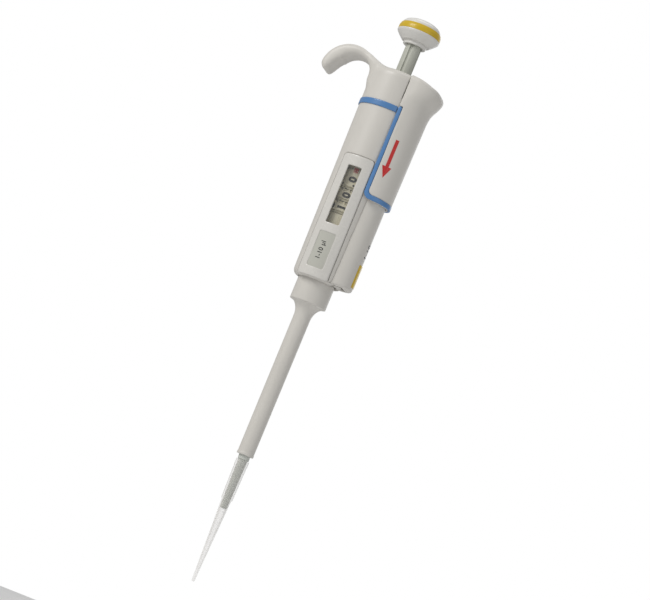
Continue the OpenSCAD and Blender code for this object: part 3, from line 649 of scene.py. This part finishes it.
def hook_cap():
    """Top shell: a rounded crown that flows into the finger hook."""
    points = hook_points()
    half_w = 5.5
    top = CAP_Z - 0.4

    def field(x, y, z):
        crown = np.hypot(x, y) - np.minimum(handle_r(z), CROWN_R + 0.12)
        crown = smax(crown, slab(z, SEAM_Z + 0.05, top), 3.6)
        crown = np.where(z < SEAM_Z + 4, np.maximum(front_lobe(x, y, z), SEAM_Z + 0.05 - z), crown)
        widen = 2.6 * np.clip((x + 18.5) / 9.0, 0, 1) ** 2
        arm = smax(outline(x, z, points), np.abs(y) - half_w - widen, 2.6)
        d = smin(crown, arm, 1.8)
        lever = column(x, y, SKIRT_R + 0.5 + SLIP, SKIRT_X)
        d = minus(d, np.maximum(lever, np.maximum(SPLIT_X - x, DECK_TOP - z)), 0.3)
        d = minus(d, np.maximum(column(x, y, STEM_R + 0.3), DECK_TOP - 1 - z), 0.5)
        inner = np.maximum(slab(z, DECK_TOP, top - 2.2), x - (SPLIT_X - 1.8))
        d = minus(d, np.maximum(column(x, y, CROWN_R - 2), inner), 0.3)
        under = np.maximum(column(x, y, CROWN_R - WALL), z - DECK_Z)
        d = minus(d, under, 0.3)
        d = minus(d, np.maximum(column(x, y, 2.3, ROD_X, ROD_Y), slab(z, DECK_Z - 2, DECK_TOP + 2)), 0.2)
        return minus(d, np.maximum(column(x, y, STEM_R + 2), z - DECK_TOP), 0.2)

    lo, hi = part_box("hook_cap")
    xs = graded(lo.x / MM - 0.8, LOBE_X + LOBE_R + 0.8, 0.4, 0.3, (SPLIT_X,), 0.8)
    ys = graded(-CROWN_R - 0.8, CROWN_R + 0.8, 0.4, 0.4)
    zs = graded(SEAM_Z - 0.6, hi.z / MM + 0.8, 0.42, 0.3, (SEAM_Z, top - 1), 1.4)
    return net("hook_cap_shell", field, xs, ys, zs, "body_plastic", "handle", ("hook_cap",))


def housing_band():
    """Blue band over the seam, with soft edges and a rounded end on each side."""
    z0, z1 = low("housing_band", Z), high("housing_band", Z)
    x1 = LEVER_X - 0.12

    def field(x, y, z):
        wrap = smax(front_lobe(x, y, z, 0.42), -front_lobe(x, y, z, 0.0), 0.25)
        return smax(wrap, round_box(x, z, -40, x1, z0, z1, 0.3), 0.45)

    r = CROWN_R + 1
    xs = graded(-r, x1 + 0.6, 0.3, 0.3)
    ys = graded(-r, r, 0.3, 0.3)
    zs = graded(z0 - 0.4, z1 + 0.4, 0.3, 0.22, (z0, z1), 0.8)
    return net("housing_band_moulding", field, xs, ys, zs, "blue_trim", "handle", ("housing_band",))


def display_panel():
    """Curved cover, proud of the shell, with the window opening and the label recess."""
    lo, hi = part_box("display_panel")
    z0, z1, w = lo.z / MM, hi.z / MM, hi.x / MM
    wz0, wz1, ww = low("display_window", Z), high("display_window", Z), high("display_window", X)
    lz0, lz1, lw = low("label_plate", Z), high("label_plate", Z), high("label_plate", X)

    def field(x, y, z):
        skin = smax(front_lobe(x, y, z, 0.3), -front_lobe(x, y, z, -0.88), 0.3)
        d = smax(skin, np.maximum(round_box(x, z, -w, w, z0, z1, 1.4), y), 0.4)
        d = minus(d, np.maximum(round_box(x, z, -ww, ww, wz0, wz1, 0.4), y), 0.35)
        label = np.maximum(round_box(x, z, -lw, lw, lz0, lz1, 0.6), y)
        return minus(d, np.maximum(label, -front_lobe(x, y, z, -0.05)), 0.2)

    xs = graded(-w - 0.5, w + 0.5, 0.3, 0.2, (-w, w, -ww, ww, -lw, lw), 0.5)
    ys = graded(-GRIP_R - 1.6, -8.2, 0.2, 0.2)
    zs = graded(z0 - 0.5, z1 + 0.5, 1.6, 0.2, (z0, z1, wz0, wz1, lz0, lz1), 0.9)
    return net("display_cover", field, xs, ys, zs, "panel_plastic", "handle", ("display_panel",))


# ---------------------------------------------------------------- ejector


def skirt_shape(x, z, inset_x=0.0, inset_z=0.0, k=3.0):
    """Front view of the lever's skirt: its lower front corner is rounded."""
    return round_box(x, z, LEVER_X + 0.02 + inset_x, 60, SKIRT_Z + inset_z, 400, k)


THUMB_W = THUMB_X - LEVER_X
# The lever's outline seen from the front: (height, reach) up its back, and (reach, height) over its top
THUMB_REACH = curve(*zip(
    (SKIRT_Z, REACH),
    (SEAM_Z - 4, REACH + 0.45),
    (SEAM_Z + 1, REACH + 0.55),
    (FLARE_Z + 0.7, REACH + 0.9),
    (CAP_Z - 11.1, REACH + 1.6),
    (CAP_Z - 9.1, REACH + 2.7),
    (CAP_Z - 7.6, THUMB_X - 1.4),
    (CAP_Z - 6.4, THUMB_X - 1.0),
    (CAP_Z, THUMB_X - 0.8),
))
THUMB_TOP = curve(*zip(
    (LEVER_X - 4, CAP_Z - 0.4),
    (LEVER_X, CAP_Z - 0.42),
    (LEVER_X + 0.32 * THUMB_W, CAP_Z - 1.1),
    (LEVER_X + 0.62 * THUMB_W, CAP_Z - 2.3),
    (THUMB_X - 2.2, CAP_Z - 3.6),
    (THUMB_X - 1, CAP_Z - 4.9),
    (THUMB_X + 1, CAP_Z - 8),
))


def lever_body(x, y, z):
    """Skirt and thumb rest, before anything is taken out."""
    r = skirt_r(z)
    along = np.clip(x - SKIRT_X, 0, np.maximum(THUMB_REACH(z) - r - SKIRT_X, 0))
    side = np.hypot(x - SKIRT_X - along, y) - r
    d = smax(side, (z - THUMB_TOP(x)) * 0.93, 1.8)
    return smax(d, skirt_shape(x, z), 0.3)


def handle_space(x, y, z):
    """Room that the lever leaves for the handle."""
    lobes = np.minimum(front_lobe(x, y, z, SLIP), column(x, y, LOBE_R + SLIP, LOBE_X))
    return np.maximum(lobes, z - ROOF_Z)


def ejector_lever():
    """Sliding thumb lever."""

    def field(x, y, z):
        d = minus(lever_body(x, y, z), handle_space(x, y, z), 0.3)
        d = smax(d, LEVER_X - x, 0.25)
        trim = smax(skirt_shape(x, z), -skirt_shape(x, z, 1.7, 2.05, 1.9), 0.1)
        trim = np.maximum(trim, z - SEAM_Z - 1.95)
        trim = np.maximum(trim, -column(x, y, skirt_r(z) - 0.95, SKIRT_X))
        return minus(d, trim, 0.1)

    xs = graded(LEVER_X - 0.5, THUMB_X + 0.8, 0.34, 0.2, (LEVER_X + 0.4,), 0.5)
    ys = graded(-SKIRT_R - 1.2, SKIRT_R + 1.2, 0.34, 0.34)
    marks = (SKIRT_Z + 1.5, SEAM_Z + 2, ROOF_Z - 1, CAP_Z - 2)
    zs = graded(SKIRT_Z - 0.6, CAP_Z + 1.9, 1.6, 0.34, marks, 5.0)
    return net("ejector_lever_shell", field, xs, ys, zs, "body_plastic", "ejector", ("ejector_lever",))


def ejector_trim():
    """Blue trim: one moulding along the skirt's lower and front edges."""

    def field(x, y, z):
        r = skirt_r(z)
        wrap = smax(column(x, y, r + 0.15, SKIRT_X), -column(x, y, r - 0.9, SKIRT_X), 0.3)
        wrap = np.maximum(wrap, -front_lobe(x, y, z, SLIP))
        wrap = np.maximum(wrap, -column(x, y, LOBE_R + SLIP, LOBE_X))
        face = smax(skirt_shape(x, z), -skirt_shape(x, z, 1.65, 2.0, 1.9), 0.3)
        face = smax(face, z - SEAM_Z - 1.85, 1.2)
        return smax(wrap, face, 0.35)

    xs = graded(LEVER_X - 0.4, REACH + 1.2, 0.3, 0.2, (LEVER_X + 0.8,), 1.2)
    ys = graded(-SKIRT_R - 1.3, SKIRT_R + 1.3, 0.28, 0.28)
    zs = graded(SKIRT_Z - 0.6, SEAM_Z + 2.6, 1.6, 0.25, (SKIRT_Z + 1.6, SEAM_Z + 1.2), 2.6)
    return net("ejector_trim_moulding", field, xs, ys, zs, "blue_trim", "ejector", ("ejector_trim",))


def ejector_tube():
    """Slim tube that opens in a hollow fillet into its wide collar."""
    z0, z1 = low("ejector_tube", Z), high("ejector_tube", Z)
    shoulder = BODY_Z - 9.6
    r = TUBE_R
    fillet = 6.4
    top_r = r + 0.15
    profile = [
        (r - 0.75, z0, 0),
        (r + 0.12, z0, 0.15),
        (r + 0.15, z0 + 0.7, 0.25),
        (r + 0.02, z0 + 1.3, 0.3),
        (top_r, shoulder - fillet, 0),
    ]
    for degrees in range(6, 85, 6):
        a = math.radians(degrees)
        out = COLLAR_R - (COLLAR_R - top_r) * math.cos(a)
        profile.append((out, shoulder - fillet + fillet * math.sin(a), 0))
    profile += [(COLLAR_R, shoulder, 0.25), (COLLAR_R, z1, 0.2), (COLLAR_R - COLLAR_WALL, z1, 0.1)]
    profile += [
        (COLLAR_R - COLLAR_WALL, shoulder + 1.6, 0.3),
        (r - 0.75, BODY_Z - 13.5, 0.5),
        (r - 0.75, z0, 0),
    ]
    profile = rounded(profile)[:-1]
    return lathe("ejector_tube_shell", profile, "body_plastic", "ejector", ("ejector_tube",), 96, True)


def ejector_arm():
    """Arm on top of the collar, with a deep tab that fills the slot in the handle's floor."""
    z0, z1 = low("ejector_arm", Z), high("ejector_arm", Z)
    boss = high("ejector_arm", X) - ROD_X

    def field(x, y, z):
        d = np.maximum(column(x, y, COLLAR_R), slab(z, z0, z1))
        tab = np.maximum(slab(x, 2, ROD_X), slab(z, BODY_Z + 0.7, z1))
        tab = np.maximum(slab(y, ROD_Y - boss, 3.6), tab)
        tab = np.maximum(tab, COLLAR_R + 0.45 * (z < z0) - np.hypot(x, y))
        foot = np.maximum(column(x, y, boss, ROD_X, ROD_Y), slab(z, BODY_Z + 0.7, z1))
        d = np.minimum(np.minimum(d, tab), foot)
        return np.maximum(d, -column(x, y, COLLAR_R - COLLAR_WALL))

    xs = graded(-COLLAR_R - 0.5, ROD_X + boss + 0.6, 0.4, 0.3, (ROD_X,), 2)
    ys = graded(-COLLAR_R - 0.5, COLLAR_R + 0.5, 0.4, 0.4)
    zs = graded(BODY_Z + 0.2, z1 + 0.5, 0.3, 0.3)
    replaced = ("ejector_arm",)
    return net("ejector_arm_moulding", field, xs, ys, zs, "grey_plastic", "ejector", replaced, "body_plastic")


# ---------------------------------------------------------------- knob


def knob_pieces():
    """Stepped lower body, coloured ring and domed cap."""
    z0 = low("knob_body", Z)
    zr, zr1 = low("knob_ring", Z), high("knob_ring", Z)
    top = high("knob_cap", Z)
    r = high("knob_body", X)
    hub = STEM_R + 1.6
    body = rounded([
        (STEM_R + 0.05, z0, 0),
        (hub, z0, 0.35),
        (hub, z0 + 1.75, 0.3),
        (r - 3.25, z0 + 1.45, 0.4),
        (r - 2.75, z0 + 1.95, 0.4),
        (r - 1.5, z0 + 3.1, 2.0),
        (r - 0.4, z0 + 4.25, 1.0),
        (r, z0 + 4.85, 0.5),
        (r - 0.02, zr - 0.03, 0.1),
        (r - 2.9, zr - 0.03, 0),
        (r - 2.9, zr + 1.4, 0.2),
        (STEM_R + 0.05, zr + 1.4, 0),
    ])
    lathe("knob_lower_body", body, "knob_plastic", "knob", ("knob_body",), 128, True)
    ring = rounded([
        (r - 2.85, zr, 0),
        (r - 0.02, zr, 0.12),
        (r - 0.08, zr + 1.7, 1.2),
        (r - 0.55, zr1, 0.25),
        (r - 2.85, zr1, 0),
    ])
    lathe("knob_colour_ring", ring, "yellow_trim", "knob", ("knob_ring",), 128, True)
    dome = r - 0.77
    h = top - zr1
    cap = rounded([
        (0, zr + 1.6, 0),
        (r - 2.9, zr + 1.6, 0),
        (r - 2.9, zr1 + 0.02, 0),
        (dome, zr1 + 0.02, 0.08),
        (dome * 0.96, zr1 + h * 0.3, 1.0),
        (dome * 0.86, zr1 + h * 0.6, 2.5),
        (dome * 0.66, zr1 + h * 0.85, 4.0),
        (dome * 0.34, top - 0.05, 5.0),
        (0, top, 0),
    ])
    lathe("knob_dome", cap, "knob_plastic", "knob", ("knob_cap",), 128)


def knob_stem():
    """Grey hollow stem with four grooves for the drive keys."""
    z0, z1 = low("knob_stem", Z), high("knob_stem", Z)

    def field(x, y, z):
        d = smax(column(x, y, STEM_R), slab(z, z0, z1), 0.4)
        for a in (0, 90, 180, 270):
            c, s = math.cos(math.radians(a)), math.sin(math.radians(a))
            groove = np.maximum(STEM_R - 0.7 - (x * c + y * s), np.abs(y * c - x * s) - 0.6)
            d = minus(d, groove, 0.25)
        return minus(d, column(x, y, 1.55), 0.2)

    xs = graded(-STEM_R - 0.4, STEM_R + 0.4, 0.2, 0.2)
    zs = graded(z0 - 0.4, z1 + 0.4, 3.0, 0.3, (z0, z1), 0.8)
    return net("knob_grooved_stem", field, xs, xs.copy(), zs, "grey_plastic", "knob", ("knob_stem",))


# ---------------------------------------------------------------- tip


def disposable_tip():
    """Thin tip: a plain cone below, and a collar with fine ribs above the step."""
    top = high("disposable_tip", Z)
    neck, end, mouth = TIP_NECK_R, TIP_END_R, high("disposable_tip", X)
    step = top - TIP_COLLAR_LEN
    profile = rounded([
        (end - 0.3, 0.0, 0),
        (end, 0.0, 0.06),
        (neck, step, 0.3),
        (neck + 0.42, step + 0.45, 0.2),
        (neck + 0.47, step + 2.0, 0),
        (mouth - 0.12, top - 3.0, 0.3),
        (mouth, top - 2.4, 0.2),
        (mouth, top, 0.15),
        (2.02, top, 0.1),
        (1.52, step - 3.4, 0.2),
        (end - 0.3, 0.4, 0),
    ])
    dense = [profile[0]]
    for a, b in zip(profile, profile[1:]):
        n = max(1, int(abs(b[1] - a[1]) / 1.6))
        dense += [a + (b - a) * i / n for i in range(1, n + 1)]

    def ribs(a, r, z):
        outer = r > neck + 0.3 and z > step + 0.6
        if not outer or z > top - 0.2:
            return r
        lift = np.clip((z - step - 0.6) / 1.0, 0, 1)
        return r - 0.10 * lift * (0.5 + 0.5 * math.cos(16 * a)) ** 2

    return lathe("tip_moulding", dense, "tip_plastic", "tip", ("disposable_tip",), 128, True, ribs)


# ---------------------------------------------------------------- counter print


def glyph(text, size, bold):
    """Points and faces of a text in the built-in font, flat, centred and in millimetres.

    It is cut into level strips, so that it can follow a curve.
    """
    cu = bpy.data.curves.new("glyph", "FONT")
    cu.body = text
    cu.size = 1.0
    cu.offset = bold
    cu.resolution_u = 6
    o = bpy.data.objects.new("glyph", cu)
    bpy.context.scene.collection.objects.link(o)
    bpy.context.view_layer.update()
    me = bpy.data.meshes.new_from_object(o.evaluated_get(bpy.context.evaluated_depsgraph_get()))
    bm = bmesh.new()
    bm.from_mesh(me)
    for k in range(-3, 12):
        parts = bm.verts[:] + bm.edges[:] + bm.faces[:]
        bmesh.ops.bisect_plane(bm, geom=parts, dist=1e-5, plane_co=(0, k * 0.08, 0), plane_no=(0, 1, 0))
    bm.to_mesh(me)
    bm.free()
    v = np.array([p.co[:2] for p in me.vertices])
    faces = [tuple(p.vertices) for p in me.polygons]
    bpy.data.objects.remove(o)
    bpy.data.curves.remove(cu)
    bpy.data.meshes.remove(me)
    lo, hi = v.min(0), v.max(0)
    v = (v - (lo + hi) / 2) / (hi[1] - lo[1]) * size
    return v, faces


def wrap_print(name, shapes, r, slot, body, mat, thick=0.05, centre=0.0, slope=0.0):
    """Joins flat shapes into one thin print round radius r about x = centre.

    A shape is (points (z, tangent), faces, angle, z). slope is how much the radius grows for each
    millimetre up.
    """
    verts, faces = [], []
    level = np.mean([z for _, _, _, z in shapes])
    for pts, fcs, angle, z in shapes:
        n0 = len(verts)
        for layer in (0, 1):
            for u, v in pts:
                a = math.radians(angle) + v / r
                q = r + slope * (z + u - level) + thick * layer
                verts.append((centre + q * math.cos(a), q * math.sin(a), z + u))
        n = len(pts)
        edges = {}
        for f in fcs:
            faces.append(tuple(n0 + n + i for i in f))
            faces.append(tuple(n0 + i for i in reversed(f)))
            for a, b in zip(f, f[1:] + f[:1]):
                edges[(a, b)] = edges.get((a, b), 0) + 1
        for a, b in edges:
            if (b, a) not in edges:
                faces.append((n0 + a, n0 + b, n0 + n + b, n0 + n + a))
    return face_outwards(finish_mesh(name, verts, faces, slot, body, mat=mat, angle=40))


def bar(w, h):
    """Flat bar, split across its height so that it can follow a curve."""
    n = 4
    pts = [(x * w / 2, -h / 2 + h * i / n) for i in range(n + 1) for x in (-1, 1)]
    return np.array(pts), [(2 * i, 2 * i + 1, 2 * i + 3, 2 * i + 2) for i in range(n)]


def strip(levels):
    """Flat strip through (tangent, lower, upper) levels. A level of no height is a point."""
    pts, faces, last = [], [], None
    for v, a, b in levels:
        ids = [len(pts)] if b - a < 1e-6 else [len(pts), len(pts) + 1]
        pts += [(a, v)] if len(ids) == 1 else [(a, v), (b, v)]
        if last:
            faces.append(tuple(last + ids[::-1]))
        last = ids
    return np.array(pts, float), faces


def dot(r):
    """Flat disc."""
    n = 20
    angles = [2 * math.pi * i / n for i in range(n)]
    return np.array([(r * math.cos(a), r * math.sin(a)) for a in angles]), [tuple(range(n))]


def lying(text, size, bold, widest=99.0):
    """Glyphs turned to read up the pipette's axis, as (points (z, tangent), faces)."""
    pts, faces = glyph(text, size, bold)
    pts = pts * (min(1.0, widest / np.ptp(pts[:, 0])), 1.0)
    return np.stack([pts[:, 0], -pts[:, 1]], 1), [tuple(reversed(f)) for f in faces]


def counter_digits():
    """Ten digits round each number ring, and the fine scale above the tenths."""
    r = high("tens_ring", Y) + 0.01
    step = 36
    rings = (
        ("tens_ring", "tens_wheel", 1),
        ("units_ring", "units_wheel", 0),
        ("tenths_ring", "counter_drive", 0),
    )
    for ring, body, shown in rings:
        z = low(ring, Z) + 2.55 + (1.65 if ring == "tenths_ring" else 0)
        shapes = []
        for d in range(10):
            pts, faces = lying(str(d), 3.7, 0.06, 2.9)
            angle = -90 + step * (d - shown)
            shapes.append((pts, faces, angle, z))
            if ring == "tenths_ring":
                pts, faces = dot(0.45)
                shapes.append((pts, faces, angle + math.degrees(1.3 / r), z - 2.45))
        wrap_print(ring + "_digits", shapes, r, "ring_plastic", body, "print_black")
    shapes = []
    red = []
    top = high("tenths_ring", Z)
    for k in range(100):
        h = 1.9 if k % 10 == 0 else (1.6 if k % 5 == 0 else 1.1)
        pts, faces = bar(h, 0.18)
        shapes.append((pts, faces, -90 + 3.6 * k, top - 0.55 - h / 2))
    for k in (-3, -1, 1, 3):
        pts, faces = bar(2.2, 0.3)
        red.append((pts, faces, -90 + 1.8 * k, top - 1.65))
    wrap_print("tenths_scale", shapes, r, "ring_plastic", "counter_drive", "print_black")
    wrap_print("tenths_zero_mark", red, r + 0.06, "ring_plastic", "counter_drive", "print_red")


def body_prints():
    """Generic prints: the volume range on the label and rear lobe, and an arrow on the lever."""
    slope = (CROWN_R - GRIP_R) / (SEAM_Z - BODY_Z)
    z = (low("label_plate", Z) + high("label_plate", Z)) / 2
    pts, faces = lying("1-10 \u00b5l", 2.5, 0.01)
    wrap_print(
        "label_print", [(pts, faces, -90, z)], handle_r(z) + 0.1, "label_film", "handle",
        "print_black", 0.03, 0.0, slope,
    )
    z = high("colour_strip", Z) + 6.5
    pts, faces = lying("1-10", 2.8, 0.03)
    wrap_print(
        "lobe_print", [(pts, faces, 2, z)], LOBE_R + 0.005, "body_plastic", "handle",
        "print_black", 0.03, LOBE_X,
    )
    z = SKIRT_Z + 19.0
    head = strip([(v, -8.5 + abs(v) / 2.1 * 5, -3.5) for v in (-2.1, -1.4, -0.7, 0, 0.7, 1.4, 2.1)])
    shaft = strip([(v, -3.5, 8.5) for v in (-0.75, 0, 0.75)])
    rise = 0.5 / (FLARE_Z - SKIRT_Z)
    wrap_print(
        "eject_arrow", [(*head, -62, z), (*shaft, -62, z)], float(skirt_r(z)) + 0.02, "body_plastic",
        "ejector", "print_red", 0.03, SKIRT_X, rise,
    )


# ---------------------------------------------------------------- build


for make in (
    main_housing,
    rear_housing,
    hook_cap,
    housing_band,
    display_panel,
    ejector_lever,
    ejector_trim,
    ejector_tube,
    ejector_arm,
    knob_pieces,
    knob_stem,
    disposable_tip,
    counter_digits,
    body_prints,
):
    make()

SLOTS = {s["node"]: s["material_slot"] for s in frame["record"]["subparts"]}
for node, obj in frame["nodes"].items():
    obj.data.materials.clear()
    obj.data.materials.append(MATS[SLOTS[node]])
    for poly in obj.data.polygons:
        poly.material_index = 0
    smooth(obj, 35)

# ---------------------------------------------------------------- floor, light and camera


def camera():
    """Long lens, a little towards the ejector's side and rolled, so that the pipette leans to the right."""
    roll, tilt, side = map(math.radians, (22.45, 7.2, 17.5))
    focal, distance, height = 2000.0, 0.833, 0.12765
    off = (-13.6, -5.3)
    up = Vector((math.sin(roll) * math.cos(tilt), -math.cos(roll) * math.cos(tilt), math.sin(tilt)))
    across = Vector((math.cos(roll), math.sin(roll), 0))
    away = up.cross(across)
    if away.z < 0:
        away = -away
    right = across * math.cos(side) - away * math.sin(side)
    back = across * math.sin(side) + away * math.cos(side)
    centre = Vector((off[0] / focal * distance, off[1] / focal * distance, distance))
    origin = centre - up * height
    rows = Matrix((
        (right.x, back.x, up.x),
        (right.y, back.y, up.y),
        (right.z, back.z, up.z),
    ))
    place = -(rows.transposed() @ origin)
    cam = bpy.data.cameras.new("camera")
    cam.sensor_width = SENSOR
    cam.lens = focal / IMAGE_WIDTH * SENSOR
    cam.clip_start = 0.01
    o = bpy.data.objects.new("camera", cam)
    m = Matrix([(rows[0][k], -rows[1][k], -rows[2][k]) for k in range(3)]).to_4x4()
    m.translation = place
    o.matrix_world = m
    bpy.context.scene.collection.objects.link(o)
    bpy.context.scene.camera = o
    return o


def area_light(name, place, aim, size, power, colour=(1, 1, 1)):
    """Square soft light at place, turned to aim."""
    li = bpy.data.lights.new(name, "AREA")
    li.size = size
    li.energy = power
    li.color = colour
    o = bpy.data.objects.new(name, li)
    o.location = place
    o.rotation_euler = (Vector(aim) - Vector(place)).to_track_quat("-Z", "Y").to_euler()
    bpy.context.scene.collection.objects.link(o)
    return o


def floor():
    """Plain pale floor, under the hanging pipette."""
    me = bpy.data.meshes.new("floor")
    n, r = 96, 0.6
    angles = [2 * math.pi * i / n for i in range(n)]
    pts = [(r * math.cos(a), r * math.sin(a), -0.07) for a in angles]
    me.from_pydata(pts, [], [tuple(range(n))])
    o = bpy.data.objects.new("floor", me)
    m, b = node_material("floor_paper", 0.7)
    tints = [(0.3, (0.86, 0.86, 0.86)), (0.7, (0.9, 0.9, 0.9))]
    m.node_tree.links.new(ramp(m, noise(m, 60, 3), tints), b.inputs["Base Color"])
    me.materials.append(m)
    bpy.context.scene.collection.objects.link(o)


def world():
    """Even white surroundings: full white behind the object, softer as a light."""
    w = bpy.data.worlds.new("studio")
    w.use_nodes = True
    bpy.context.scene.world = w
    t = w.node_tree
    bg = t.nodes["Background"]
    bg.inputs["Color"].default_value = (1, 1, 1, 1)
    path = t.nodes.new("ShaderNodeLightPath")
    level = t.nodes.new("ShaderNodeMapRange")
    level.inputs["To Min"].default_value = 0.38
    level.inputs["To Max"].default_value = 1.0
    t.links.new(path.outputs["Is Camera Ray"], level.inputs["Value"])
    t.links.new(level.outputs["Result"], bg.inputs["Strength"])


camera()
floor()
world()
middle = (0, 0, 0.15)
area_light("key", (-0.55, -0.75, 0.75), middle, 0.5, 6.5, (1.0, 0.985, 0.96))
area_light("fill", (0.8, -0.5, 0.25), middle, 0.7, 1.0)
area_light("top", (0.0, 0.1, 1.0), middle, 0.6, 1.5)
area_light("rim", (0.2, 0.9, 0.4), middle, 0.6, 0.8)
bpy.context.scene.view_settings.view_transform = "Standard"
